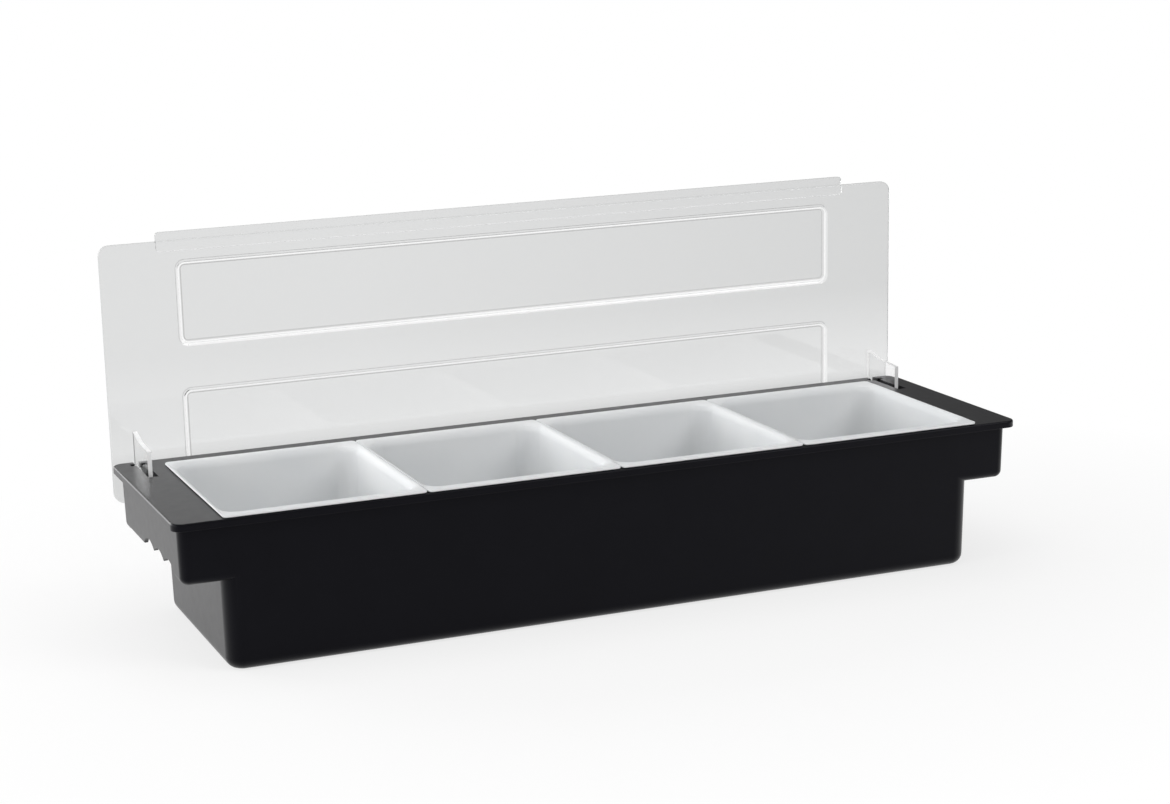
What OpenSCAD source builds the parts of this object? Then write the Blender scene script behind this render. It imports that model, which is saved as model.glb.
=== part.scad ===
// Four-compartment condiment caddy: a black tub with a wing at each end, four lift-out
// white inserts and one clear lid that swings up and back on two pins.
// Millimetres. +X right, -Y front, +Z up. Origin: centre of the tub's underside.

/* [Housing] */
// Length of the rim, end to end
rim_l = 490; // [400:1:600]
// Depth of the rim, front to back
rim_w = 141; // [118:1:170]
// Height of the rim's top above the base
housing_h = 83.5; // [70:0.5:105]
// Thickness of the rim plate, which is also the top of each wing
plate_t = 4; // [3:0.1:4.4]
// Corner radius of the rim plate, seen from above
plate_corner_r = 6; // [3:0.5:9]
// Rounding of the rim plate's upper edges
plate_edge_r = 1.9; // [1.5:0.1:2.2]
// Rounding of the rim plate's lower edges
plate_low_r = 1; // [0.5:0.1:1.2]
// Thickness of the tub's walls and the wings' skirts
wall_t = 2.2; // [1.8:0.1:2.8]
// Thickness of the tub's floor
floor_t = 2.6; // [2:0.1:4]
// How far the rim stands out over the front and back walls
side_overhang = 5.3; // [4.8:0.1:6]
// How much narrower each side is at the base than at the rim
side_draft = 1.5; // [0:0.1:4]
// How much shorter each end is at the base than at the rim
end_draft = 1.4; // [0:0.1:2]
// Corner radius of the tub, seen from above
tub_corner_r = 9.5; // [8:0.5:16]
// Rounding where the tub's walls meet its base
tub_base_r = 6; // [3:0.5:7]

/* [Wings] */
// Length of each wing's top, from the rim's end to the tub's end wall
wing_l = 25.6; // [25:0.1:30]
// How far the rim stands out over the wing's end skirt
end_overhang = 3.7; // [3:0.1:5]
// Height of the wing, from the rim's top to the skirt's lower edge
wing_h = 34.4; // [30:0.2:40]
// How far the end skirt leans in from its top to its lower edge
wing_draft = 0.6; // [0:0.1:1.5]
// Corner radius of the wing, seen from above
wing_corner_r = 5; // [4:0.5:8]
// Rounding of the skirt's lower corners
skirt_corner_r = 4; // [1:0.5:6]
// How much higher the wing's end skirt finishes than its front and back skirts
end_rise = 2.5; // [0.5:0.1:4]
// Number of finger scallops in each end skirt
scallops = 3; // [1:1:3]
// Distance between scallops
scallop_pitch = 21.4; // [18:0.2:24]
// Height of each scallop above the end skirt's lower edge
scallop_h = 5.4; // [3:0.2:6]
// Width of each scallop at that edge, where neighbours run into each other
scallop_w = 25.2; // [21:0.2:28]
// How far the middle scallop lies in front of the tub's middle
scallop_shift = 16; // [0:1:18]

/* [Inserts] */
// Black strip of rim left in front of the inserts
front_strip = 0.8; // [0.6:0.1:4]
// Black strip of rim left behind the inserts
rear_strip = 15; // [14:0.5:20]
// How far the outer inserts' rims lap over the tub's end walls
end_lap = 1.8; // [1.2:0.1:2]
// How far the inserts' rims lap over the plate behind them
rear_lap = 4.5; // [3:0.1:6]
// Gap between an insert's body and the opening it hangs in
insert_gap = 0.4; // [0.3:0.1:1]
// Gap between two inserts' rims
rim_gap = 0.4; // [0.3:0.1:1]
// Thickness of an insert's rim
insert_rim_t = 1.2; // [1:0.1:1.6]
// Thickness of an insert's walls and floor
insert_wall_t = 1.4; // [1:0.1:1.8]
// Room for ice between the tub's floor and the inserts
ice_depth = 11.4; // [4:0.2:30]
// How much each wall of an insert leans in from top to floor
insert_draft = 1.8; // [0.5:0.1:4]
// Corner radius of an insert's rim
insert_rim_r = 4; // [2:0.5:8]
// Corner radius of an insert's body
insert_corner_r = 13; // [8:0.5:18]
// Rounding where an insert's walls meet its floor
insert_base_r = 6; // [3:0.5:9]
// Flat left on the rim between its side edge and the flared mouth
mouth_land = 0.2; // [0.2:0.1:1.2]
// Depth of the flare below the rim's top
flare_h = 3.6; // [2:0.1:5]
// Gap between an insert's rim and the plate that carries it
seat_gap = 0.3; // [0.2:0.1:0.5]

/* [Lid] */
// Thickness of the lid
lid_t = 2.5; // [2:0.1:3.5]
// How far the lid's ends lie inside the rim's ends
lid_end_inset = 1.2; // [0.5:0.1:4]
// How far the closed lid's front edge lies behind the rim's front edge
lid_front_inset = 6.7; // [4:0.1:10]
// How far the closed lid reaches out behind the rim
lid_tail = 9.5; // [4:0.5:12]
// Corner radius of the lid
lid_corner_r = 6; // [2:0.5:12]
// How far the raised panels stand out of the lid
panel_rise = 2; // [1:0.1:3]
// Height of each raised panel, seen on the open lid
panel_w = 43.4; // [30:0.2:46]
// Distance from each end of the lid to the raised panels
panel_end_inset = 44.3; // [38:0.1:60]
// Distance from the lid's front edge to the first raised panel
panel_front_inset = 13.4; // [8:0.2:20]
// Distance between the raised panels
panel_gap = 28.4; // [24:0.2:40]
// Corner radius of the raised panels
panel_corner_r = 3; // [2:0.5:8]
// Distance from each end of the lid to the finger lip
lip_end_inset = 32.2; // [20:0.1:60]
// How far the finger lip stands out in front of the lid's edge
lip_reach = 4.7; // [3:0.1:8]
// How far the finger lip laps over the lid
lip_lap = 6; // [4:0.5:10]
// Corner radius of the finger lip
lip_corner_r = 2; // [1:0.5:4]

/* [Hinge] */
// Distance from the rim's rear edge forward to the pin
pin_inset = 7.5; // [7.3:0.1:8]
// Distance from the rim's top down to the pin
pin_drop = 6.5; // [6.3:0.1:7]
// Radius of the pin
pin_r = 2; // [1.5:0.1:2]
// Running clearance round the pin
pin_clear = 0.05; // [0.03:0.01:0.1]
// Gap between the closed lid and the inserts' rims
lid_gap = 1.5; // [1.5:0.05:2]
// Distance from the rim's end to the middle of the hinge
hinge_inset = 14.7; // [14:0.1:15]
// Thickness of each bracket's rib
rib_t = 2.4; // [2:0.1:3]
// Width of the boss round the pin
boss_w = 4.4; // [4:0.1:8]
// How far the bracket stands out in front of the pin
bracket_reach = 24; // [20:0.5:26]
// Height of the bracket's front edge above the rim, lid open
bracket_front_h = 12.2; // [10:0.1:16]
// Height of the bracket above the rim over its boss's front, lid open
bracket_mid_h = 13.4; // [11:0.1:18]
// Height of the bracket above the rim at the lid, lid open
bracket_back_h = 16.5; // [14:0.5:22]
// Radius of the boss round the pin
boss_r = 4.5; // [3.5:0.1:5]
// Gap between the boss and the sides of the bracket's slot
slot_gap = 0.6; // [0.4:0.1:1.2]
// Room left in front of the bracket's sweep
slot_room = 0.8; // [0.4:0.1:3]
// Thickness of the ears that carry the pin
ear_t = 3; // [2:0.1:3.2]
// How far each ear reaches in front of the pin
ear_reach = 9; // [7:0.5:12]
// How far each ear reaches below the bracket's boss
ear_drop = 4; // [2:0.5:6]
// How far the pin's ends lie inside the ears' outer faces
pin_end_inset = 0.5; // [0.3:0.1:1]
// Gap at each end of the pin
pin_end_gap = 0.2; // [0.1:0.1:0.3]
// Gap between the bracket and the sill that stops it, lid open
stop_gap = 0.3; // [0.2:0.1:0.5]
// Gap between the bracket and the rear skirt, lid closed
heel_gap = 0.7; // [0.4:0.1:1.2]
// How much higher a rib's lower edge is at its front than behind
toe_rise = 3.4; // [0:0.2:4]

/* [Hidden] */
$fn = 64;
hull_fn = 32;
slice_t = 0.01;
// How far a cutting shape reaches past what it cuts
over = 1;
// How far the wings' sides lie inside the tub's, so that the two share no plane
flush = 0.02;
black = "#1b1c20";
white = "#f1f1ee";
clear = "#d7dde0";
steel = "#b9bcc0";

plate_z = housing_h - plate_t;
skirt_z = housing_h - wing_h;
tub_half_l = rim_l / 2 - wing_l;
wing_half_l = rim_l / 2 - end_overhang;
side_half_w = rim_w / 2 - side_overhang;

insert_count = 4;
bank_front = front_strip - rim_w / 2;
bank_back = rim_w / 2 - rear_strip;
bank_mid = (bank_front + bank_back) / 2;
opening_half_l = tub_half_l - wall_t;
opening_front = wall_t - side_half_w;
opening_back = bank_back - rear_lap;
opening_mid = (opening_front + opening_back) / 2;
opening_half_w = (opening_back - opening_front) / 2;
bank_half_l = opening_half_l + end_lap;
insert_pitch = 2 * bank_half_l / insert_count;
body_half_l = insert_pitch / 2 - end_lap - insert_gap;
body_half_w = opening_half_w - insert_gap;
insert_rim_z = housing_h + seat_gap;
insert_top = insert_rim_z + insert_rim_t;
insert_base = floor_t + ice_depth;
insert_h = insert_top - insert_base;
// How far the mouth of an insert flares out, from its wall to the rim's land
flare_w = insert_pitch / 2 - rim_gap / 2 - mouth_land - body_half_l + insert_wall_t;

pin_y = rim_w / 2 - pin_inset;
pin_z = housing_h - pin_drop;
// Distance from the pin to the face of the lid
face_drop = insert_top + lid_gap - pin_z;
lid_y = pin_y + face_drop;
// A point that lies at y on the closed lid stands at fold - y on the open one
fold = pin_y + pin_z;
lid_top = fold + rim_w / 2 - lid_front_inset;
lid_low = fold - rim_w / 2 - lid_tail;
lid_half_l = rim_l / 2 - lid_end_inset;
hinge_x = rim_l / 2 - hinge_inset;
slot_half_w = boss_w / 2 + slot_gap;
pin_half_l = slot_half_w + ear_t - pin_end_inset;
bracket_top = housing_h + bracket_front_h - pin_z;
bracket_sweep = norm([bracket_reach, bracket_top]);
slot_front = pin_y - bracket_sweep - slot_room;
sill_z = pin_z - boss_r - stop_gap;
ear_low = pin_z - boss_r - ear_drop;
// Lowest a rib may be in front of the boss, lid open: this edge faces the skirt, lid closed
heel = pin_y + wall_t + heel_gap - side_at(housing_h);
toe = heel + toe_rise;

// Half the housing's outer width between its side walls, at height z
function side_at(z) = side_half_w - side_draft * (housing_h - z) / housing_h;
// Half the tub's outer length, at height z
function end_at(z) = tub_half_l - end_draft * (housing_h - z) / housing_h;
// How far an insert's wall has leant in, at height z
function lean_at(z) = insert_draft * (insert_top - z) / insert_h;
function insert_x(i) = (i - (insert_count - 1) / 2) * insert_pitch;

// Rectangle with rounded corners, centred
module round_rect(l, w, r) {
    square([l - 2 * r, w], center = true);
    square([l, w - 2 * r], center = true);
    for (sx = [-1, 1], sy = [-1, 1]) {
        translate([sx * (l / 2 - r), sy * (w / 2 - r)]) circle(r);
    }
}

// Four thin discs at the corners of a rectangle, to be joined by a hull
module corner_discs(half_l, half_w, r, z) {
    for (sx = [-1, 1], sy = [-1, 1]) {
        translate([sx * (half_l - r), sy * (half_w - r), z]) {
            cylinder(r = r, h = slice_t, $fn = hull_fn);
        }
    }
}

// What a quarter-round of radius r takes off an edge that runs along +X through the origin
module edge_cut(l, r) {
    rotate([90, 0, 90]) linear_extrude(l, center = true) difference() {
        translate([-r, -r]) square(r + over);
        translate([-r, -r]) circle(r);
    }
}

// Solid of the tub's outer shape, or of its inside when inset by the wall
module tub_form(inset, low, high) {
    r = tub_corner_r - inset;
    base_r = max(tub_base_r - inset / 2, 1);
    hull() {
        for (a = [0 : 30 : 90]) {
            z = low + base_r * (1 - cos(a));
            in = inset + base_r * (1 - sin(a));
            corner_discs(end_at(z) - in, side_at(z) - in, r - base_r * (1 - sin(a)), z);
        }
        corner_discs(end_at(high) - inset, side_at(high) - inset, r, high);
    }
}

// Solid of both wings' outer shape in one, or of their inside
module wing_form(inset, low, high) {
    r = wing_corner_r - inset;
    lean = wing_draft * (high - low) / (wing_h - plate_t);
    hull() {
        corner_discs(wing_half_l - lean - inset, side_at(low) - flush - inset, r, low);
        corner_discs(wing_half_l - inset, side_at(high) - flush - inset, r, high);
    }
}

// Plate with all its edges rounded
module plate() {
    hull() {
        for (a = [0 : 30 : 90]) {
            low_in = plate_low_r * (1 - sin(a));
            low_z = plate_z + plate_low_r * (1 - cos(a));
            high_in = plate_edge_r * (1 - sin(a));
            high_z = housing_h - slice_t - plate_edge_r * (1 - cos(a));
            corner_discs(rim_l / 2 - low_in, rim_w / 2 - low_in, plate_corner_r - low_in, low_z);
            corner_discs(rim_l / 2 - high_in, rim_w / 2 - high_in, plate_corner_r - high_in, high_z);
        }
    }
}

// What is cut out of both end skirts from below: a shallow recess with scallops above it
module grip_cuts() {
    edge_z = skirt_z + end_rise;
    half_w = side_at(skirt_z) - 2 * wing_corner_r;
    rotate([90, 0, 90]) linear_extrude(rim_l, center = true) polygon([
        [-half_w - end_rise - over, skirt_z - over],
        [half_w + end_rise + over, skirt_z - over],
        [half_w, edge_z],
        [-half_w, edge_z]
    ]);
    r = (scallop_w * scallop_w / 4 + scallop_h * scallop_h) / (2 * scallop_h);
    for (i = [0 : scallops - 1]) {
        y = (i - (scallops - 1) / 2) * scallop_pitch - scallop_shift;
        translate([0, y, edge_z + scallop_h - r]) rotate([0, 90, 0]) {
            cylinder(r = r, h = rim_l, center = true);
        }
    }
}

// Skirts of both wings, open below
module skirts() {
    difference() {
        wing_form(0, skirt_z, plate_z + over);
        wing_form(wall_t, skirt_z - over, plate_z);
        grip_cuts();
        for (turn = [0, 180]) rotate([0, 0, turn]) {
            translate([0, side_at(skirt_z), skirt_z]) mirror([0, 0, 1]) {
                edge_cut(rim_l, skirt_corner_r);
            }
            translate([wing_half_l - wing_draft, 0, skirt_z]) rotate([0, 0, -90]) mirror([0, 0, 1]) {
                edge_cut(rim_w, skirt_corner_r);
            }
        }
    }
}

// Two ears under the plate on the right-hand wing, one on each side of the slot
module ears() {
    for (side = [-1, 1]) {
        translate([hinge_x + side * (slot_half_w + ear_t / 2), 0, 0]) rotate([90, 0, 90]) {
            linear_extrude(ear_t, center = true) polygon([
                [pin_y - ear_reach, plate_z + over],
                [pin_y - ear_reach, pin_z - over],
                [pin_y - boss_r, ear_low],
                [side_at(ear_low) - wall_t / 2, ear_low],
                [side_at(ear_low) - wall_t / 2, plate_z + over]
            ]);
        }
    }
}

// Slot for the right-hand bracket, with a saddle that the pin drops into from above
module slot_cut() {
    saddle_r = pin_r + pin_clear;
    saddle_l = 2 * (pin_half_l + pin_end_gap);
    translate([hinge_x - slot_half_w, slot_front, sill_z]) {
        cube([2 * slot_half_w, rim_w, housing_h]);
    }
    translate([hinge_x, pin_y, pin_z]) {
        rotate([0, 90, 0]) cylinder(r = saddle_r, h = saddle_l, center = true);
        translate([-saddle_l / 2, -saddle_r, 0]) cube([saddle_l, 2 * saddle_r, housing_h]);
    }
}

module housing() {
    color(black) difference() {
        union() {
            plate();
            skirts();
            tub_form(0, 0, plate_z + over);
            ears();
            mirror([1, 0, 0]) ears();
        }
        tub_form(wall_t, floor_t, plate_z - slice_t);
        translate([0, opening_mid, plate_z - tub_corner_r]) linear_extrude(housing_h) {
            round_rect(2 * opening_half_l, 2 * opening_half_w, tub_corner_r - wall_t);
        }
        slot_cut();
        mirror([1, 0, 0]) slot_cut();
    }
}

// Solid of an insert's body, or of its inside when inset by the wall
module insert_form(inset, low, high) {
    r = insert_corner_r - inset;
    base_r = insert_base_r - inset;
    hull() {
        for (a = [0 : 22.5 : 90]) {
            z = low + base_r * (1 - cos(a));
            in = inset + lean_at(z) + base_r * (1 - sin(a));
            corner_discs(body_half_l - in, body_half_w - in, r - base_r * (1 - sin(a)), z);
        }
        in = inset + lean_at(high);
        corner_discs(body_half_l - in, body_half_w - in, r, high);
    }
}

// What the flare takes out of an insert's mouth, between two levels
module flare_cut(out_low, low, out_high, high) {
    out = [out_low - insert_wall_t, out_high - insert_wall_t];
    hull() {
        corner_discs(body_half_l + out[0], body_half_w + out[0], insert_corner_r + out[0], low);
        corner_discs(body_half_l + out[1], body_half_w + out[1], insert_corner_r + out[1], high);
    }
}

module insert(i) {
    knee_out = flare_w * (1 - cos(45));
    knee_z = insert_top - flare_h * (1 - sin(45));
    color(white) translate([insert_x(i), 0, 0]) difference() {
        union() {
            translate([0, opening_mid, 0]) insert_form(0, insert_base, insert_rim_z + slice_t);
            translate([0, bank_mid, insert_rim_z]) linear_extrude(insert_rim_t) {
                round_rect(insert_pitch - rim_gap, bank_back - bank_front, insert_rim_r);
            }
        }
        translate([0, opening_mid, 0]) {
            insert_form(insert_wall_t, insert_base + insert_wall_t, insert_top + over);
            flare_cut(0, insert_top - flare_h, knee_out, knee_z);
            flare_cut(knee_out, knee_z, flare_w, insert_top);
        }
    }
}
module insert_left() insert(0);
module insert_mid_left() insert(1);
module insert_mid_right() insert(2);
module insert_right() insert(3);

// Flat rounded slab that stands upright: from is its face nearest the front
module slab(half_l, low, high, r, from, t) {
    translate([0, from + t, (low + high) / 2]) rotate([90, 0, 0]) {
        linear_extrude(t) round_rect(2 * half_l, high - low, r);
    }
}

// One raised panel's slab, grown by grow on every side
module raised(i, grow, from, t) {
    high = lid_top - panel_front_inset - i * (panel_w + panel_gap);
    half_l = lid_half_l - panel_end_inset;
    slab(half_l + grow, high - panel_w - grow, high + grow, panel_corner_r + grow, from, t);
}

// Outline of a rib with the pin at the origin: +x towards the lid, +y up
module rib_outline() {
    back = face_drop + lid_t / 2;
    back_top = housing_h + bracket_back_h - pin_z;
    polygon([
        [back, back_top],
        [face_drop, back_top],
        [-boss_r, housing_h + bracket_mid_h - pin_z],
        [-bracket_reach, bracket_top],
        [-bracket_reach, toe],
        [-boss_r, heel],
        [0, -boss_r],
        [back, -boss_r]
    ]);
}

// Bracket of the right-hand hinge: an upright rib with a wider boss round the pin
module bracket() {
    translate([hinge_x, pin_y, pin_z]) rotate([90, 0, 90]) difference() {
        union() {
            linear_extrude(rib_t, center = true) rib_outline();
            cylinder(r = boss_r, h = boss_w, center = true);
        }
        cylinder(r = pin_r + pin_clear, h = boss_w + over, center = true);
    }
}

module lid() {
    lip_half_l = lid_half_l - lip_end_inset;
    color(clear, 0.4) {
        difference() {
            union() {
                slab(lid_half_l, lid_low, lid_top, lid_corner_r, lid_y, lid_t);
                for (i = [0, 1]) raised(i, lid_t / 2, lid_y + lid_t / 2, lid_t / 2 + panel_rise);
                slab(lip_half_l, lid_top - lip_lap, lid_top + lip_reach, lip_corner_r,
                     lid_y + lid_t / 2, lid_t / 2 + panel_rise);
            }
            for (i = [0, 1]) raised(i, 0, lid_y - over, over + panel_rise);
            translate([-rim_l / 2, lid_y, lid_top + slice_t]) {
                cube([rim_l, lid_t, lip_reach + over]);
            }
        }
        bracket();
        mirror([1, 0, 0]) bracket();
    }
}

module hinge_pin(side) {
    color(steel) translate([side * hinge_x, pin_y, pin_z]) rotate([0, 90, 0]) {
        cylinder(r = pin_r, h = 2 * pin_half_l, center = true);
    }
}
module hinge_pin_left() hinge_pin(-1);
module hinge_pin_right() hinge_pin(1);

housing();
lid();
insert_left();
insert_mid_left();
insert_mid_right();
insert_right();
hinge_pin_left();
hinge_pin_right();
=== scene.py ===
import math

import bmesh
import bpy
from mathutils import Matrix, Vector


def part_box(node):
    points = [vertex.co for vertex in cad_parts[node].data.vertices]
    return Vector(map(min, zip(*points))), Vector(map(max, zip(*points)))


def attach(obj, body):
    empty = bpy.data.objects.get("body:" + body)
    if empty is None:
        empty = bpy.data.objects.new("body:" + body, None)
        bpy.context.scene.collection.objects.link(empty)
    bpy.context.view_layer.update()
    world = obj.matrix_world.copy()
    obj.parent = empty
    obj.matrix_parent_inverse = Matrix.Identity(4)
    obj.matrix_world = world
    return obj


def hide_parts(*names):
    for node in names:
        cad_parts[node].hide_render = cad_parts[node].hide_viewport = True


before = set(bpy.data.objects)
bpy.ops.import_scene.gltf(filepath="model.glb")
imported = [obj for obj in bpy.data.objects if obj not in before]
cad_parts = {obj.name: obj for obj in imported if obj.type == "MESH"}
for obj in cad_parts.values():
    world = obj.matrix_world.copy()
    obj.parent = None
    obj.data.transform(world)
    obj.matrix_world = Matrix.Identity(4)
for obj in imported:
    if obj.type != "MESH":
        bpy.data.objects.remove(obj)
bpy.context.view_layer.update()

# Shapes are worked out in millimetres in the frame's own axes, and scaled to metres as they are placed
MM = 0.001


def box_mm(node):
    """Lowest and highest corner of a CAD node, in millimetres."""
    low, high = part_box(node)
    return low / MM, high / MM


housing_low, housing_high = box_mm("housing")
lid_box_low, lid_box_high = box_mm("lid")
pin_low, pin_high = box_mm("hinge_pin_right")

# Housing
RIM_HALF_L = housing_high.x
RIM_HALF_W = housing_high.y
HOUSING_H = housing_high.z
PLATE_T = 4.0
PLATE_CORNER_R = 6.0
# Rounding of the plate's upper and lower edges
PLATE_EDGE_R = 1.2
PLATE_LOW_R = 0.25
WALL_T = 2.2
FLOOR_T = 2.6
# How far the plate stands out past the side walls, and past the skirts of the wings
SIDE_OVERHANG = 5.3
END_OVERHANG = 3.7
# How far the side walls and the tub's end walls lean in from the rim to the base
SIDE_DRAFT = 1.5
END_DRAFT = 1.4
TUB_CORNER_R = 9.5
TUB_BASE_R = 6.0
# Wing: its length past the tub, its height with the plate, and how far its skirt leans in
WING_L = 25.6
WING_H = 34.4
WING_DRAFT = 0.6
WING_CORNER_R = 5.0
SKIRT_CORNER_R = 4.0
# How far the recess reaches up into the end skirt, and the scallops above it, shifted to the front
END_RISE = 2.5
SCALLOPS = 3
SCALLOP_PITCH = 21.4
SCALLOP_H = 5.4
SCALLOP_W = 25.2
SCALLOP_SHIFT = 16.0
SCALLOP_STEPS = 96
PLATE_Z = HOUSING_H - PLATE_T
SKIRT_Z = HOUSING_H - WING_H
TUB_HALF_L = RIM_HALF_L - WING_L
WING_HALF_L = RIM_HALF_L - END_OVERHANG
SIDE_HALF_W = RIM_HALF_W - SIDE_OVERHANG

# Inserts
INSERTS = 4
# Plate behind the inserts' rims, and how far the rims lap over the plate at the ends and behind
REAR_STRIP = 15.0
END_LAP = 1.8
REAR_LAP = 4.5
# Gap between the inserts' bodies and the opening
INSERT_GAP = 0.4
INSERT_RIM_T = 1.2
INSERT_WALL_T = 1.4
INSERT_DRAFT = 1.8
INSERT_RIM_R = 2.5
INSERT_CORNER_R = 13.0
INSERT_BASE_R = 6.0
FLARE_W = 3.2
FLARE_H = 5.0
# The mouth's corners are tighter at the rim, and have the body's own rounding halfway round the flare
MOUTH_R = 7.0
INSERT_FILLET = 0.8
RIM_EDGE_R = 0.5
OPENING_HALF_L = TUB_HALF_L - WALL_T
OPENING_FRONT = WALL_T - SIDE_HALF_W
OPENING_BACK = RIM_HALF_W - REAR_STRIP - REAR_LAP
OPENING_MID = (OPENING_FRONT + OPENING_BACK) / 2
OPENING_HALF_W = (OPENING_BACK - OPENING_FRONT) / 2

# Hinge
PIN = (pin_low + pin_high) / 2
PIN_R = (pin_high.z - pin_low.z) / 2
PIN_HALF_L = (pin_high.x - pin_low.x) / 2
PIN_CLEAR = 0.05
PIN_END_GAP = 0.2
PIN_END_R = 0.4
# From the pin back to the lid's inner face, with the lid open
FACE_DROP = 9.5
RIB_T = 2.4
BOSS_W = 4.4
BOSS_R = 4.5
# Bracket's rib, with the lid open: its reach in front of the pin, and its heights above the rim
BRACKET_REACH = 24.0
BRACKET_FRONT_H = 12.2
BRACKET_MID_H = 13.4
BRACKET_BACK_H = 16.5
# Heights of the rib's lower edge above the pin, at the boss and at its front
HEEL = 0.7
TOE = 4.1
# Gaps in the slot: beside the boss, in front of the rib as it swings, and under the boss
SLOT_GAP = 0.6
SLOT_ROOM = 0.8
STOP_GAP = 0.3
# Ears that carry the pin: how far they reach in front of it, and below the boss
EAR_T = 3.0
EAR_REACH = 9.0
EAR_DROP = 4.0
SLOT_HALF_W = BOSS_W / 2 + SLOT_GAP
SILL_Z = PIN.z - BOSS_R - STOP_GAP

# Lid
LID_T = 2.5
LID_CORNER_R = 6.0
LID_EDGE_R = 0.6
PANEL_RISE = 2.0
PANEL_W = 43.4
PANEL_END_INSET = 44.3
PANEL_FRONT_INSET = 13.4
PANEL_GAP = 28.4
PANEL_CORNER_R = 3.0
PANEL_FILLET = 0.95
# Finger lip: how far it reaches past the sheet's edge, laps over its back, and sinks into its back
LIP_REACH = 4.7
LIP_LAP = 6.0
LIP_BITE = 0.05
LIP_END_INSET = 32.2
LIP_CORNER_R = 2.0
LID_HALF_L = lid_box_high.x
LID_LOW = lid_box_low.z
LID_TOP = lid_box_high.z - LIP_REACH
LID_Y = PIN.y + FACE_DROP
LID_BACK = LID_Y + LID_T

# How far a cutting shape reaches past what it cuts
OVER = 1.0
# Steps along each rounded corner, along each rounded edge and around each rod
ARC = 12
EDGE_STEPS = 6
ROD_STEPS = 48
# Least rounding of a slab's corners
LEAST_R = 0.1
# How far the tub's sides stand outside the wings' where both lie on one plane
FLUSH = 0.002
# Rounding of the edges that cuts leave, from which angle they get it, and the shortest edge that is kept
CUT_EDGE_R = 0.3
LID_CUT_EDGE_R = 0.25
CUT_EDGE_STEPS = 2
CUT_EDGE_ANGLE = math.radians(40)
LEAST_EDGE = 0.002
# Angle between two faces from which the edge between them shows
SHARP = math.radians(32)

# Lid's painted light and shade by place, in millimetres. A ramp is where it starts and where it ends.
# Painted highlight on the slope around each panel: it starts at the panel's edge, and ends outside a panel
# moved by the drop
PAINTED_HIGHLIGHT_RAMP = (-0.2, 0.2)
PAINTED_HIGHLIGHT_END_RAMP = (1.3, 2.0)
PAINTED_HIGHLIGHT_DROP = 0.7
# Thin painted shade inside the painted highlight
SHADE_RAMP = (-1.1, -0.7)
SHADE_END_RAMP = (-0.4, 0.0)
# Heights between which a painted reflection of the inserts' white lightens the sheet, and where painted
# shade darkens it along X
PAINTED_REFLECTION_RAMP = (80.0, 88.0)
PAINTED_REFLECTION_END_RAMP = (88.0, 140.0)
PAINTED_SIDE_SHADE_RAMP = (-100.0, 240.0)
# How far in front of the sheet its own shading starts
SHEET_MARGIN = 0.25
# A face turns into an edge as its normal, along the flat's axis, falls from the second value to the first
EDGE_RAMP = (0.6, 0.98)

# Noise lies mostly between these values
NOISE_RANGE = (0.3, 0.7)

# Camera, as solved from straight edges in the photograph: metres, degrees and pixels
FRAME_W, FRAME_H = 1170, 804
VIEW_FROM = Vector((-0.5058, -1.2163, 0.4026))
VIEW_AZIMUTH = 21.313
VIEW_DOWN = 13.434
VIEW_ROLL = -1.563
FOCAL_PX = 2425.0
CENTRE_PX = (519.4, 435.3)
SENSOR_W = 36.0

# Floor, in metres: how far from the middle it starts to turn plain white and is plain white
FLOOR_HALF = 20.0
FLOOR_WHITE = 0.95
FADE_START = 0.26
FADE_END = 0.55
# How much sooner it does so along Y, and the share of plain white in the middle
FADE_ACROSS = 1.4
FADE_LEAST = 0.72

# Strength of the surroundings at the far left and the far right
SKY_BRIGHT = (0.52, 0.36)
# Dimmer band: the heights, in degrees, where it starts, is full, starts to fade and ends
BAND = (4, 9, 22, 38)
# Strength of the band at its left and right, and the directions' X between which it changes
BAND_LEVEL = (0.53, 0.11)
BAND_ACROSS = (0.17, 0.56)


def side_at(z):
    """Half the housing's outer width between its side walls, at height z."""
    return SIDE_HALF_W - SIDE_DRAFT * (HOUSING_H - z) / HOUSING_H


def end_at(z):
    """Half the tub's outer length, at height z."""
    return TUB_HALF_L - END_DRAFT * (HOUSING_H - z) / HOUSING_H


def quarter(r):
    """Points along a quarter round, as across and up from its start, which is level; its end is upright."""
    angles = [math.radians(90 * i / EDGE_STEPS) for i in range(EDGE_STEPS + 1)]
    return [(r * math.sin(angle), r * (1 - math.cos(angle))) for angle in angles]


def ring(half_l, half_w, r, z, mid_x=0.0, mid_y=0.0):
    """Points of a rounded rectangle at height z, anticlockwise seen from above."""
    points = []
    for corner, (sx, sy) in enumerate(((1, 1), (-1, 1), (-1, -1), (1, -1))):
        for step in range(ARC + 1):
            angle = math.radians(90 * (corner + step / ARC))
            x = mid_x + sx * (half_l - r) + r * math.cos(angle)
            y = mid_y + sy * (half_w - r) + r * math.sin(angle)
            points.append(Vector((x, y, z)))
    return points


def loft(bm, rings):
    """Skin over rings that have the same number of points, closed at both ends."""
    rows = [[bm.verts.new(p) for p in points] for points in rings]
    for low, high in zip(rows, rows[1:]):
        for i in range(len(low)):
            j = (i + 1) % len(low)
            bm.faces.new((low[i], low[j], high[j], high[i]))
    bm.faces.new(reversed(rows[0]))
    bm.faces.new(rows[-1])


def solid(name, rings):
    """Mesh object of one closed loft."""
    bm = bmesh.new()
    loft(bm, rings)
    return as_object(name, bm)


def as_object(name, bm):
    """Object with the mesh that bm holds, its normals outward."""
    bmesh.ops.recalc_face_normals(bm, faces=bm.faces)
    mesh = bpy.data.meshes.new(name)
    bm.to_mesh(mesh)
    bm.free()
    obj = bpy.data.objects.new(name, mesh)
    bpy.context.scene.collection.objects.link(obj)
    return obj


def prism(name, outline, start, end):
    """Solid with an outline in Y and Z, from x = start to x = end."""
    bm = bmesh.new()
    loft(bm, [[Vector((x, y, z)) for y, z in outline] for x in (start, end)])
    return as_object(name, bm)


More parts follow.
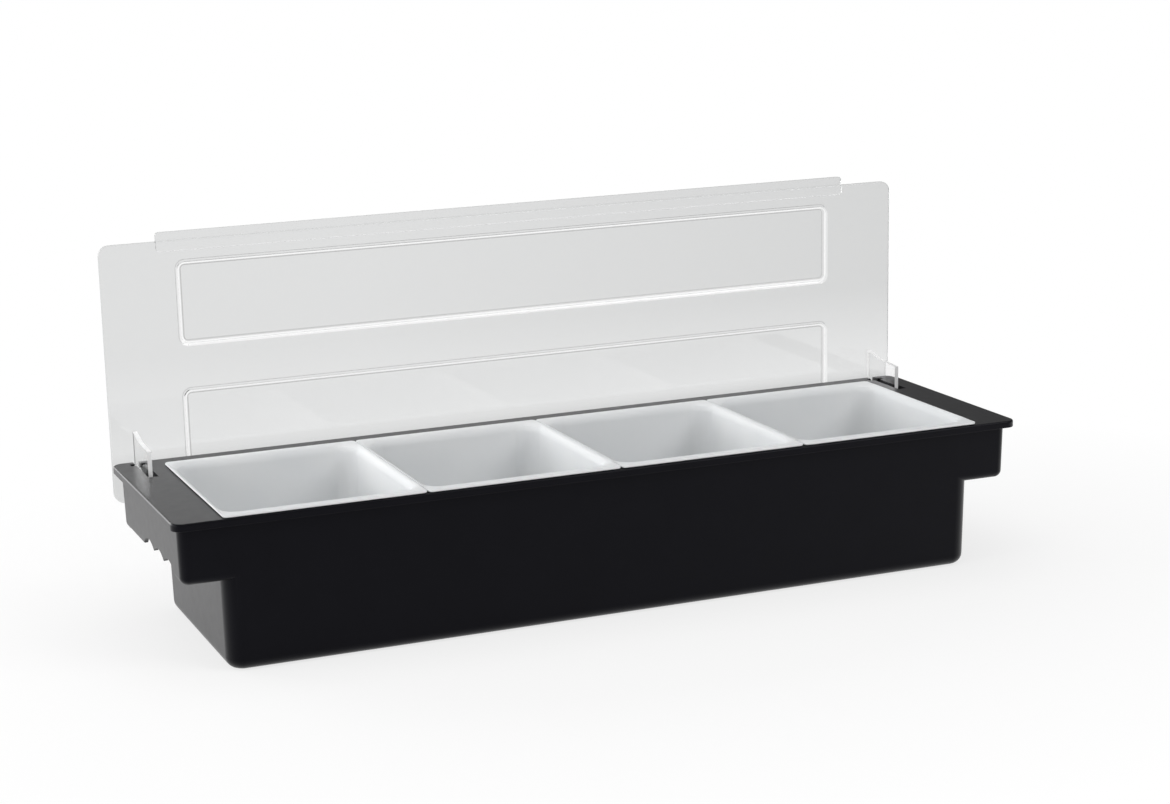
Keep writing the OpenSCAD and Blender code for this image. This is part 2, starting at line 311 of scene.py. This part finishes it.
def block(name, low, high):
    """Plain box between two corners."""
    outline = [(low[1], low[2]), (high[1], low[2]), (high[1], high[2]), (low[1], high[2])]
    return prism(name, outline, low[0], high[0])


def circle(r, y, z, steps=ROD_STEPS):
    """Outline of a round bar along X."""
    angles = [2 * math.pi * i / steps for i in range(steps)]
    return [(y + r * math.cos(a), z + r * math.sin(a)) for a in angles]


def rod(name, r, start, end, y, z, steps=ROD_STEPS):
    """Plain round bar along X."""
    return prism(name, circle(r, y, z, steps), start, end)


def mirrored(obj):
    """Copy of obj on the other side of the middle plane."""
    bm = bmesh.new()
    bm.from_mesh(obj.data)
    bmesh.ops.scale(bm, vec=(-1, 1, 1), verts=bm.verts)
    return as_object(obj.name + "_mirrored", bm)


def apply_modifiers(obj):
    """Makes the shape that obj has with its modifiers its own."""
    graph = bpy.context.evaluated_depsgraph_get()
    mesh = bpy.data.meshes.new_from_object(obj.evaluated_get(graph))
    obj.modifiers.clear()
    obj.data = mesh


def combine(obj, others, operation):
    """Adds others to obj, or takes them from it, and deletes them."""
    for other in others:
        modifier = obj.modifiers.new("combine", "BOOLEAN")
        modifier.operation = operation
        modifier.solver = "MANIFOLD"
        modifier.object = other
    apply_modifiers(obj)
    for other in others:
        bpy.data.objects.remove(other)
    return obj


def tub_rings(inset, low, high, sides_out=0.0):
    """Outer shape of the tub, or its inside when inset by the wall, with a rounded base."""
    r = TUB_CORNER_R - inset
    base_r = TUB_BASE_R - inset / 2
    rings = []
    for across, up in quarter(base_r):
        z = low + up
        back = base_r - across
        half_l = end_at(z) - inset - back
        half_w = side_at(z) - inset - back + sides_out
        rings.append(ring(half_l, half_w, r - back, z))
    rings.append(ring(end_at(high) - inset, side_at(high) - inset + sides_out, r, high))
    return rings


def wing_rings(inset, low, high, base_r=0.0):
    """Outer shape of both wings in one, or their inside, with a rounded base where base_r says so."""

    def level(z, back=0.0):
        """Ring at height z, drawn in by back."""
        in_all = inset + back
        lean = WING_DRAFT * (PLATE_Z - z) / (WING_H - PLATE_T)
        return ring(WING_HALF_L - lean - in_all, side_at(z) - in_all, WING_CORNER_R - in_all, z)

    if not base_r:
        return [level(low), level(high)]
    return [level(low + up, base_r - across) for across, up in quarter(base_r)] + [level(high)]


def plate_rings():
    """Rim plate with its lower and upper edges rounded."""
    levels = [(PLATE_LOW_R - across, PLATE_Z + up) for across, up in quarter(PLATE_LOW_R)]
    levels += [(PLATE_EDGE_R - across, HOUSING_H - up) for across, up in reversed(quarter(PLATE_EDGE_R))]
    return [ring(RIM_HALF_L - back, RIM_HALF_W - back, PLATE_CORNER_R - back, z) for back, z in levels]


def grip_cutters():
    """What is cut out of the right-hand end skirt from below: a shallow recess and the scallops."""
    edge_z = SKIRT_Z + END_RISE
    half_w = side_at(SKIRT_Z) - 2 * WING_CORNER_R
    start, end = WING_HALF_L - 2 * WALL_T, RIM_HALF_L + OVER
    recess = [
        (-half_w - END_RISE - OVER, SKIRT_Z - OVER),
        (half_w + END_RISE + OVER, SKIRT_Z - OVER),
        (half_w, edge_z),
        (-half_w, edge_z),
    ]
    cutters = [prism("recess", recess, start, end)]
    r = (SCALLOP_W ** 2 / 4 + SCALLOP_H ** 2) / (2 * SCALLOP_H)
    for i in range(SCALLOPS):
        y = (i - (SCALLOPS - 1) / 2) * SCALLOP_PITCH - SCALLOP_SHIFT
        cutters.append(rod("scallop", r, start, end, y, edge_z + SCALLOP_H - r, SCALLOP_STEPS))
    return cutters


def slot_cutters():
    """The right-hand bracket's slot, and the saddle that the pin drops into from above."""
    sweep = math.hypot(BRACKET_REACH, HOUSING_H + BRACKET_FRONT_H - PIN.z)
    front = PIN.y - sweep - SLOT_ROOM
    r = PIN_R + PIN_CLEAR
    half_l = PIN_HALF_L + PIN_END_GAP
    top = HOUSING_H + OVER
    left, right = PIN.x - SLOT_HALF_W, PIN.x + SLOT_HALF_W
    slot = block("slot", (left, front, SILL_Z), (right, RIM_HALF_W + OVER, top))
    saddle = rod("saddle", r, PIN.x - half_l, PIN.x + half_l, PIN.y, PIN.z)
    chute = block("chute", (PIN.x - half_l, PIN.y - r, PIN.z), (PIN.x + half_l, PIN.y + r, top))
    return [slot, saddle, chute]


def ears():
    """Two ears under the right-hand wing's plate, one on each side of the slot."""
    low = PIN.z - BOSS_R - EAR_DROP
    back = side_at(low) - WALL_T / 2
    outline = [
        (PIN.y - EAR_REACH, PLATE_Z + OVER),
        (PIN.y - EAR_REACH, PIN.z - OVER),
        (PIN.y - BOSS_R, low),
        (back, low),
        (back, PLATE_Z + OVER),
    ]
    made = []
    for side in (-1, 1):
        mid = PIN.x + side * (SLOT_HALF_W + EAR_T / 2)
        made.append(prism("ear", outline, mid - EAR_T / 2, mid + EAR_T / 2))
    return made


def both_sides(objects):
    """objects and their mirror images."""
    return objects + [mirrored(o) for o in objects]


def housing():
    """Tub, rim plate and hollow wings as one moulding."""
    body = solid("housing_shell", wing_rings(0, SKIRT_Z, PLATE_Z + OVER, SKIRT_CORNER_R))
    tub = solid("tub", tub_rings(0, 0, PLATE_Z + OVER, FLUSH))
    plate = solid("plate", plate_rings())
    combine(body, [tub, plate], "UNION")
    hollow = solid("hollow", wing_rings(WALL_T, SKIRT_Z - OVER, PLATE_Z))
    between_wings = solid("between_wings", tub_rings(0, -2 * TUB_BASE_R, HOUSING_H))
    combine(hollow, [between_wings], "DIFFERENCE")
    combine(body, [hollow], "DIFFERENCE")
    combine(body, both_sides(ears()), "UNION")
    r = TUB_CORNER_R - WALL_T
    levels = (PLATE_Z - TUB_CORNER_R, HOUSING_H + OVER)
    opening = [ring(OPENING_HALF_L, OPENING_HALF_W, r, z, mid_y=OPENING_MID) for z in levels]
    cutters = [solid("inside", tub_rings(WALL_T, FLOOR_T, PLATE_Z)), solid("opening", opening)]
    combine(body, cutters + both_sides(grip_cutters() + slot_cutters()), "DIFFERENCE")
    return body


def insert(name):
    """Thin-walled tub with a flat rim and a rolled mouth."""
    low, high = box_mm(name)
    x = (low.x + high.x) / 2
    rim_y = (low.y + high.y) / 2
    rim_half_l = (high.x - low.x) / 2
    rim_half_w = (high.y - low.y) / 2
    body_half_l = (OPENING_HALF_L + END_LAP) / INSERTS - END_LAP - INSERT_GAP
    body_half_w = OPENING_HALF_W - INSERT_GAP
    rim_z = high.z - INSERT_RIM_T

    def body_ring(out, z, sharper=0.0):
        """Ring of the drafted body, its corners turned towards MOUTH_R by the share that sharper gives."""
        out -= INSERT_DRAFT * (high.z - z) / (high.z - low.z)
        r = INSERT_CORNER_R + out
        r += sharper * (MOUTH_R - r)
        return ring(body_half_l + out, body_half_w + out, r, z, x, OPENING_MID)

    def rim_ring(out, z):
        """Ring of the flat rim."""
        return ring(rim_half_l + out, rim_half_w + out, INSERT_RIM_R + out, z, x, rim_y)

    # Up the outside, over the rim, and down the inside
    rings = [body_ring(across - INSERT_BASE_R, low.z + up) for across, up in quarter(INSERT_BASE_R)]
    rings += [body_ring(up, rim_z - INSERT_FILLET + across) for across, up in quarter(INSERT_FILLET)]
    edge = quarter(RIM_EDGE_R)
    rings += [rim_ring(across - RIM_EDGE_R, rim_z + up) for across, up in edge]
    rings += [rim_ring(across - RIM_EDGE_R, high.z - up) for across, up in reversed(edge)]
    for step, (across, up) in enumerate(quarter(1)):
        out = FLARE_W * (1 - across) - INSERT_WALL_T
        rings.append(body_ring(out, high.z - FLARE_H * up, max(0, 1 - 2 * step / EDGE_STEPS)))
    inner_r = INSERT_BASE_R - INSERT_WALL_T
    for across, up in reversed(quarter(inner_r)):
        rings.append(body_ring(across - inner_r - INSERT_WALL_T, low.z + INSERT_WALL_T + up))
    return solid(name + "_shell", rings)


def upright(points):
    """Turns a ring drawn level, with Y up the page, into one that stands upright and faces the front."""
    return [Vector((p.x, p.z, p.y)) for p in points]


def slab_rings(half_l, low, high, r, levels):
    """Upright rings of a rounded slab: levels lists how far out and at which depth each ring lies."""
    mid, half_w = (low + high) / 2, (high - low) / 2
    rings = [ring(half_l + out, half_w + out, max(r + out, LEAST_R), y, mid_y=mid) for out, y in levels]
    return [upright(points) for points in rings]


def edged(front, back, r):
    """Levels for a slab between two depths, with both its edges rounded."""
    edge = quarter(r)
    levels = [(across - r, front + up) for across, up in edge]
    return levels + [(across - r, back - up) for across, up in reversed(edge)]


def panel_levels(grow, face, floor):
    """Levels from a face of the sheet down to, or up to, a raised panel's own face."""
    way = 1 if floor > face else -1
    start = grow + 2 * PANEL_FILLET
    edge = quarter(PANEL_FILLET)
    levels = [(start, face - way * OVER), (start, face)]
    levels += [(start - across, face + way * up) for across, up in edge]
    return levels + [(grow + across - PANEL_FILLET, floor - way * up) for across, up in reversed(edge)]


def panel_top(i):
    """Height of a raised panel's upper edge: panel 0 is the upper one, with the lid open."""
    return LID_TOP - PANEL_FRONT_INSET - i * (PANEL_W + PANEL_GAP)


def panel_solid(i, grow, face, floor):
    """What a raised panel adds behind the sheet, or takes out of its front."""
    high = panel_top(i)
    half_l = LID_HALF_L - PANEL_END_INSET
    levels = panel_levels(grow, face, floor)
    return solid("panel", slab_rings(half_l, high - PANEL_W, high, PANEL_CORNER_R, levels))


def panel_frame(i, drop):
    """Middle, half size within the corners' rounding, and rounding of a panel moved down, in metres."""
    high = panel_top(i) - drop
    inner_l = LID_HALF_L - PANEL_END_INSET - PANEL_CORNER_R
    inner_w = PANEL_W / 2 - PANEL_CORNER_R
    return (0, 0, (high - PANEL_W / 2) * MM), (inner_l * MM, 1, inner_w * MM), PANEL_CORNER_R * MM


def bracket():
    """The right-hand hinge's rib and boss."""
    rib = [
        (FACE_DROP + LID_T / 2, HOUSING_H + BRACKET_BACK_H - PIN.z),
        (FACE_DROP, HOUSING_H + BRACKET_BACK_H - PIN.z),
        (-BOSS_R, HOUSING_H + BRACKET_MID_H - PIN.z),
        (-BRACKET_REACH, HOUSING_H + BRACKET_FRONT_H - PIN.z),
        (-BRACKET_REACH, TOE),
        (-BOSS_R, HEEL),
        (0, -BOSS_R),
        (FACE_DROP + LID_T / 2, -BOSS_R),
    ]
    made = prism("rib", [(PIN.y + y, PIN.z + z) for y, z in rib], PIN.x - RIB_T / 2, PIN.x + RIB_T / 2)
    boss = rod("boss", BOSS_R, PIN.x - BOSS_W / 2, PIN.x + BOSS_W / 2, PIN.y, PIN.z)
    combine(made, [boss], "UNION")
    bore = rod("bore", PIN_R + PIN_CLEAR, PIN.x - BOSS_W, PIN.x + BOSS_W, PIN.y, PIN.z)
    return combine(made, [bore], "DIFFERENCE")


def lid():
    """Clear sheet with two raised panels, a finger lip and a bracket at each end."""
    levels = edged(LID_Y, LID_BACK, LID_EDGE_R)
    body = solid("lid_shell", slab_rings(LID_HALF_L, LID_LOW, LID_TOP, LID_CORNER_R, levels))
    # The lip has only its outer edge rounded, and starts a little inside the sheet
    levels = [(0, LID_BACK - LIP_BITE)] + edged(LID_BACK, LID_BACK + PANEL_RISE, LID_EDGE_R)[EDGE_STEPS:]
    low, high = LID_TOP - LIP_LAP, LID_TOP + LIP_REACH
    lip = solid("lip", slab_rings(LID_HALF_L - LIP_END_INSET, low, high, LIP_CORNER_R, levels))
    raised = [panel_solid(i, LID_T / 2, LID_BACK, LID_BACK + PANEL_RISE) for i in (0, 1)]
    combine(body, raised + [lip] + both_sides([bracket()]), "UNION")
    sunk = [panel_solid(i, 0, LID_Y, LID_Y + PANEL_RISE) for i in (0, 1)]
    return combine(body, sunk, "DIFFERENCE")


def pin(name):
    """Hinge pin with rounded ends."""
    low, high = box_mm(name)
    edge = quarter(PIN_END_R)
    levels = [(low.x + up, across) for across, up in edge]
    levels += [(high.x - up, across) for across, up in reversed(edge)]
    rings = []
    for x, across in levels:
        rings.append([Vector((x, y, z)) for y, z in circle(PIN_R - PIN_END_R + across, PIN.y, PIN.z)])
    return solid(name + "_rod", rings)


def rounded(obj, width):
    """Rounds the sharp edges that the cuts left."""
    edge = obj.modifiers.new("edges", "BEVEL")
    edge.width = width
    edge.segments = CUT_EDGE_STEPS
    edge.limit_method = "ANGLE"
    edge.angle_limit = CUT_EDGE_ANGLE
    apply_modifiers(obj)
    return obj


def place(name, obj, slot, body, *nodes):
    """Brings a piece to its real size, shades it, and puts it on its body in place of CAD nodes."""
    obj.name = name
    bm = bmesh.new()
    bm.from_mesh(obj.data)
    bmesh.ops.dissolve_degenerate(bm, edges=bm.edges, dist=LEAST_EDGE)
    bmesh.ops.scale(bm, vec=(MM, MM, MM), verts=bm.verts)
    for face in bm.faces:
        face.smooth = True
    for edge in bm.edges:
        edge.smooth = edge.calc_face_angle(math.pi) < SHARP
    mesh = bpy.data.meshes.new(name)
    bm.to_mesh(mesh)
    bm.free()
    mesh.materials.append(finishes[slot])
    obj.data = mesh
    normals = obj.modifiers.new("normals", "WEIGHTED_NORMAL")
    normals.keep_sharp = True
    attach(obj, body)
    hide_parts(*nodes)


class Nodes:
    """A node tree, and the few ways in which the scene puts nodes together."""

    def __init__(self, tree):
        self.tree = tree

    def join(self, value, socket):
        """Links a socket to another one, or sets it to a value."""
        if isinstance(value, bpy.types.NodeSocket):
            self.tree.links.new(value, socket)
        else:
            socket.default_value = value

    def add(self, kind, **inputs):
        """New node, with its inputs given by name."""
        made = self.tree.nodes.new(kind)
        for key, value in inputs.items():
            self.join(value, made.inputs[key])
        return made

    def filled(self, kind, *values):
        """New node, with its inputs given in order."""
        made = self.tree.nodes.new(kind)
        for value, socket in zip(values, made.inputs):
            self.join(value, socket)
        return made

    def math(self, operation, *values):
        """Result of an operation on numbers."""
        made = self.filled("ShaderNodeMath", *values)
        made.operation = operation
        return made.outputs["Value"]

    def spread(self, value, low, high, start=NOISE_RANGE[0], end=NOISE_RANGE[1], smooth=False):
        """Maps the range from start to end, which suits noise unless it is given, to low to high."""
        made = self.filled("ShaderNodeMapRange", value, start, end, low, high)
        if smooth:
            made.interpolation_type = "SMOOTHSTEP"
        return made.outputs["Result"]

    def within(self, value, rise, fall):
        """1 between a rising and a falling ramp, each given as its start and its end, and 0 outside."""
        return self.math("MINIMUM", self.spread(value, 0, 1, *rise), self.spread(value, 1, 0, *fall))

    def seen_by(self, *kinds):
        """1 for rays of the given kinds, and 0 for others."""
        path = self.add("ShaderNodeLightPath")
        seen = path.outputs[kinds[0]]
        for kind in kinds[1:]:
            seen = self.math("MAXIMUM", seen, path.outputs[kind])
        return seen


class Shader(Nodes):
    """A node material named after its slot."""

    def __init__(self, name):
        self.material = bpy.data.materials.new(name + "_finish")
        self.material.use_nodes = True
        super().__init__(self.material.node_tree)
        self.main = self.tree.nodes["Principled BSDF"]
        self.output = self.tree.nodes["Material Output"]
        where = self.add("ShaderNodeTexCoord")
        self.point, self.normal = where.outputs["Object"], where.outputs["Normal"]

    def set(self, **values):
        """Sockets of the main shader, whose names have underscores here for spaces."""
        for key, value in values.items():
            self.join(value, self.main.inputs[key.replace("_", " ")])

    def show_mix(self, factor, first, second):
        """Makes the surface a mix of two shaders."""
        mix = self.filled("ShaderNodeMixShader", factor, first.outputs[0], second.outputs[0])
        self.join(mix.outputs[0], self.output.inputs["Surface"])

    def noise(self, size, detail=2.0, stretch=None):
        """Noise with features about size metres across, and longer along an axis where stretch says so."""
        where = self.point
        if stretch:
            where = self.add("ShaderNodeMapping", Vector=where, Scale=stretch).outputs["Vector"]
        made = self.add("ShaderNodeTexNoise", Vector=where, Scale=1 / size, Detail=detail)
        return made.outputs["Fac"]

    def bump(self, height, depth, strength=1.0, under=None):
        """Normal of a bump with a depth in metres, on top of another bump's normal where one is given."""
        made = self.add("ShaderNodeBump", Height=height, Distance=depth, Strength=strength)
        if under:
            self.join(under, made.inputs["Normal"])
        return made.outputs["Normal"]

    def blend(self, factor, first, second):
        """Mixes two colours."""
        made = self.tree.nodes.new("ShaderNodeMix")
        made.data_type = "RGBA"
        self.join(factor, made.inputs["Factor"])
        for socket, colour in zip([i for i in made.inputs if i.type == "RGBA"], (first, second)):
            self.join(colour, socket)
        return [o for o in made.outputs if o.type == "RGBA"][0]

    def vector(self, operation, *values):
        """Result of an operation on vectors."""
        made = self.filled("ShaderNodeVectorMath", *values)
        made.operation = operation
        return made.outputs["Value" if operation == "LENGTH" else "Vector"]

    def beyond(self, middle, half, r):
        """How far outside a rounded box the surface lies, in metres."""
        offset = self.vector("ABSOLUTE", self.vector("SUBTRACT", self.point, middle))
        corner = self.vector("MAXIMUM", self.vector("SUBTRACT", offset, half), (0, 0, 0))
        return self.math("SUBTRACT", self.vector("LENGTH", corner), r)


def grey(level):
    """Neutral colour."""
    return (level, level, level, 1)


def in_metres(values):
    """Lengths in metres for lengths in millimetres."""
    return [value * MM for value in values]


def housing_plastic():
    """Black moulded plastic with a fine spark-eroded grain."""
    look = Shader("housing_plastic")
    mottle = look.spread(look.noise(0.018, detail=3), 0, 1)
    grain = look.noise(0.0007, detail=2)
    look.set(
        Base_Color=look.blend(mottle, (0.0032, 0.0032, 0.0042, 1), (0.0038, 0.0038, 0.005, 1)),
        Roughness=look.spread(look.noise(0.006, detail=4), 0.34, 0.365),
        IOR=1.5,
        Specular_Tint=(0.08, 0.079, 0.105, 1),
        Normal=look.bump(grain, 0.00002),
        Coat_Weight=0.17,
        Coat_IOR=1.25,
        Coat_Roughness=0.12,
    )
    return look.material


def insert_plastic():
    """White moulded plastic, a little cool, slightly uneven in its gloss."""
    look = Shader("insert_plastic")
    mottle = look.noise(0.03, detail=3)
    waves = look.bump(mottle, 0.0002, 0.5)
    look.set(
        Base_Color=look.blend(look.spread(mottle, 0, 1), (0.75, 0.765, 0.775, 1), (0.78, 0.79, 0.795, 1)),
        Roughness=look.spread(look.noise(0.008, detail=4), 0.48, 0.58),
        IOR=1.45,
        Normal=look.bump(look.noise(0.0009, detail=2), 0.00002, under=waves),
    )
    return look.material


def past_panels(look, drop):
    """How far outside the nearer raised panel the surface lies, with both panels moved down by drop."""
    return look.math("MINIMUM", *[look.beyond(*panel_frame(i, drop)) for i in (0, 1)])


def sheet_colour_with_painted_light(look, x, z):
    """Tint of the lid's sheet with painted light: painted shade darker to the right, a painted reflection of
    the inserts' white lighter low down, and painted highlights around the panels with a thin painted shade
    inside them.
    """
    edge = past_panels(look, 0)
    # Painted highlight on the slope around each panel, and a thin painted shade inside it
    painted_highlight_start = look.spread(edge, 0, 1, *in_metres(PAINTED_HIGHLIGHT_RAMP))
    painted_highlight_end = look.spread(past_panels(look, PAINTED_HIGHLIGHT_DROP), 1, 0, *in_metres(PAINTED_HIGHLIGHT_END_RAMP))
    step = look.math("MINIMUM", painted_highlight_start, painted_highlight_end)
    shade = look.within(edge, in_metres(SHADE_RAMP), in_metres(SHADE_END_RAMP))
    # Painted reflection of the inserts' white, lighter low down on the sheet
    glow = look.within(z, in_metres(PAINTED_REFLECTION_RAMP), in_metres(PAINTED_REFLECTION_END_RAMP))
    # Painted shade: the sheet darker towards the right
    across = look.spread(x, 0, 1, *in_metres(PAINTED_SIDE_SHADE_RAMP))
    tint = look.blend(across, (0.725, 0.73, 0.73, 1), (0.655, 0.66, 0.66, 1))
    tint = look.blend(glow, tint, (0.8, 0.805, 0.805, 1))
    return look.blend(shade, look.blend(step, tint, grey(0.98)), grey(0.5))


def lid_plastic():
    """Clear moulded plastic that lets the lamps through, with painted highlights where it turns off its flat
    faces: whiter and less clear on the brackets' edges, and rougher and less refracting on all edges.
    """
    look = Shader("lid_plastic")
    point = look.add("ShaderNodeSeparateXYZ", Vector=look.point).outputs
    facing = look.add("ShaderNodeSeparateXYZ", Vector=look.normal).outputs
    # The brackets stand in front of the sheet and are flat across X, and the sheet is flat across Y
    sheet = look.math("GREATER_THAN", point["Y"], (LID_Y - SHEET_MARGIN) * MM)
    across_x = look.math("ABSOLUTE", facing["X"])
    across_y = look.math("ABSOLUTE", facing["Y"])
    edge = look.spread(look.spread(sheet, across_x, across_y, 0, 1), 1, 0, *EDGE_RAMP)
    bracket_edge = look.spread(sheet, edge, 0, 0, 1)
    # Painted highlight: the brackets whiter and less clear on their edges
    bracket_painted_highlight = look.blend(edge, grey(0.93), grey(0.97))
    gloss = look.spread(look.noise(0.02, detail=5), 0.03, 0.07)
    look.set(
        Base_Color=look.blend(sheet, bracket_painted_highlight, sheet_colour_with_painted_light(look, point["X"], point["Z"])),
        Roughness=look.spread(edge, gloss, 0.3, 0, 1),
        IOR=look.spread(edge, 1.49, 1.12, 0, 0.5),
        Transmission_Weight=look.spread(bracket_edge, 1.0, 0.15, 0, 1),
        Normal=look.bump(look.noise(0.04, detail=2), 0.0003, 0.4),
    )
    through = look.add("ShaderNodeBsdfTransparent", Color=(0.85, 0.855, 0.86, 1))
    look.show_mix(look.seen_by("Is Shadow Ray"), look.main, through)
    return look.material


def pin_steel():
    """Drawn stainless rod, with fine lines along it."""
    look = Shader("pin_steel")
    lines = look.noise(0.0004, detail=3, stretch=(0.05, 1, 1))
    look.set(
        Base_Color=look.blend(look.spread(lines, 0, 1), (0.5, 0.5, 0.5, 1), (0.64, 0.64, 0.63, 1)),
        Metallic=1.0,
        Roughness=look.spread(lines, 0.22, 0.38),
        Normal=look.bump(lines, 0.00002),
    )
    return look.material


def floor_material():
    """White floor: lit and shadowed near the object, plain white farther out."""
    look = Shader("floor_white")
    look.tree.nodes.remove(look.main)
    diffuse = look.add("ShaderNodeBsdfDiffuse", Color=grey(FLOOR_WHITE))
    glow = look.add("ShaderNodeEmission", Color=grey(1), Strength=1.0)
    seen = look.seen_by("Is Camera Ray", "Is Glossy Ray", "Is Transmission Ray")
    reach = look.vector("LENGTH", look.vector("MULTIPLY", look.point, (1, FADE_ACROSS, 1)))
    share = look.math("MULTIPLY", seen, look.spread(reach, FADE_LEAST, 1, FADE_START, FADE_END))
    look.show_mix(share, diffuse, glow)
    return look.material


def floor():
    """Floor at the height that the object stands on."""
    bm = bmesh.new()
    bmesh.ops.create_grid(bm, x_segments=1, y_segments=1, size=FLOOR_HALF)
    obj = as_object("floor", bm)
    obj.data.materials.append(floor_material())


def lamp(name, position, target, size, power):
    """Soft rectangular lamp that faces a point."""
    data = bpy.data.lights.new(name, "AREA")
    data.shape = "RECTANGLE"
    data.size, data.size_y = size
    data.energy = power
    obj = bpy.data.objects.new(name, data)
    obj.location = position
    obj.rotation_euler = (Vector(target) - Vector(position)).to_track_quat("-Z", "Y").to_euler()
    obj.visible_camera = False
    bpy.context.scene.collection.objects.link(obj)


def sky():
    """Pale surroundings, with a dimmer band between low down and overhead that the tops reflect."""
    world = bpy.data.worlds.new("sky")
    world.use_nodes = True
    bpy.context.scene.world = world
    nodes = Nodes(world.node_tree)
    where = nodes.add("ShaderNodeTexCoord")
    direction = nodes.add("ShaderNodeSeparateXYZ", Vector=where.outputs["Generated"]).outputs
    start, full, fade, end = (math.sin(math.radians(height)) for height in BAND)
    above = nodes.spread(direction["Z"], 0, 1, start, full, smooth=True)
    below = nodes.spread(direction["Z"], 1, 0, fade, end, smooth=True)
    bright = nodes.spread(direction["X"], *SKY_BRIGHT, -1, 1)
    dim = nodes.spread(direction["X"], *BAND_LEVEL, *BAND_ACROSS)
    lit = nodes.spread(nodes.math("MULTIPLY", above, below), bright, dim, 0, 1)
    seen = nodes.seen_by("Is Camera Ray", "Is Transmission Ray")
    background = nodes.tree.nodes["Background"].inputs
    nodes.join(grey(1), background["Color"])
    nodes.join(nodes.spread(seen, lit, 1, 0, 1), background["Strength"])


def camera():
    """Camera at the photograph's viewing angle, with its whole frame."""
    azimuth, down, roll = (math.radians(a) for a in (VIEW_AZIMUTH, VIEW_DOWN, VIEW_ROLL))
    level_ahead = Vector((math.sin(azimuth), math.cos(azimuth), 0))
    ahead = level_ahead * math.cos(down) - Vector((0, 0, math.sin(down)))
    level = Vector((math.cos(azimuth), -math.sin(azimuth), 0))
    upright_axis = level.cross(ahead)
    right = math.cos(roll) * level + math.sin(roll) * upright_axis
    up = math.cos(roll) * upright_axis - math.sin(roll) * level
    data = bpy.data.cameras.new("camera")
    data.sensor_fit = "HORIZONTAL"
    data.sensor_width = SENSOR_W
    data.lens = FOCAL_PX / FRAME_W * SENSOR_W
    data.shift_x = (FRAME_W / 2 - CENTRE_PX[0]) / FRAME_W
    data.shift_y = (CENTRE_PX[1] - FRAME_H / 2) / FRAME_W
    obj = bpy.data.objects.new("camera", data)
    turned = Matrix((right, up, -ahead)).transposed().to_4x4()
    obj.matrix_world = Matrix.Translation(VIEW_FROM) @ turned
    bpy.context.scene.collection.objects.link(obj)
    bpy.context.scene.camera = obj


camera()
finishes = {make.__name__: make() for make in (housing_plastic, insert_plastic, lid_plastic, pin_steel)}
place("housing_moulding", rounded(housing(), CUT_EDGE_R), "housing_plastic", "base", "housing")
place("lid_moulding", rounded(lid(), LID_CUT_EDGE_R), "lid_plastic", "lid", "lid")
for node in ("insert_left", "insert_mid_left", "insert_mid_right", "insert_right"):
    place(node + "_moulding", insert(node), "insert_plastic", node, node)
for node in ("hinge_pin_left", "hinge_pin_right"):
    place(node + "_rod", pin(node), "pin_steel", "lid", node)

floor()
sky()
lamp("overhead", position=(0, 0.1, 1.6), target=(0, 0, 0), size=(1.6, 1.2), power=4.4)
lamp("key", position=(-1, 1.3, 0.45), target=(0, 0, 0.05), size=(1.2, 0.85), power=10.5)
lamp("side", position=(-1.1, -0.1, 0.36), target=(-0.1, 0, 0.05), size=(0.9, 0.5), power=4.8)
lamp("front", position=(0.9, -1.1, 1.1), target=(0, 0, 0.05), size=(0.9, 0.9), power=9)
bpy.context.scene.view_settings.view_transform = "Standard"
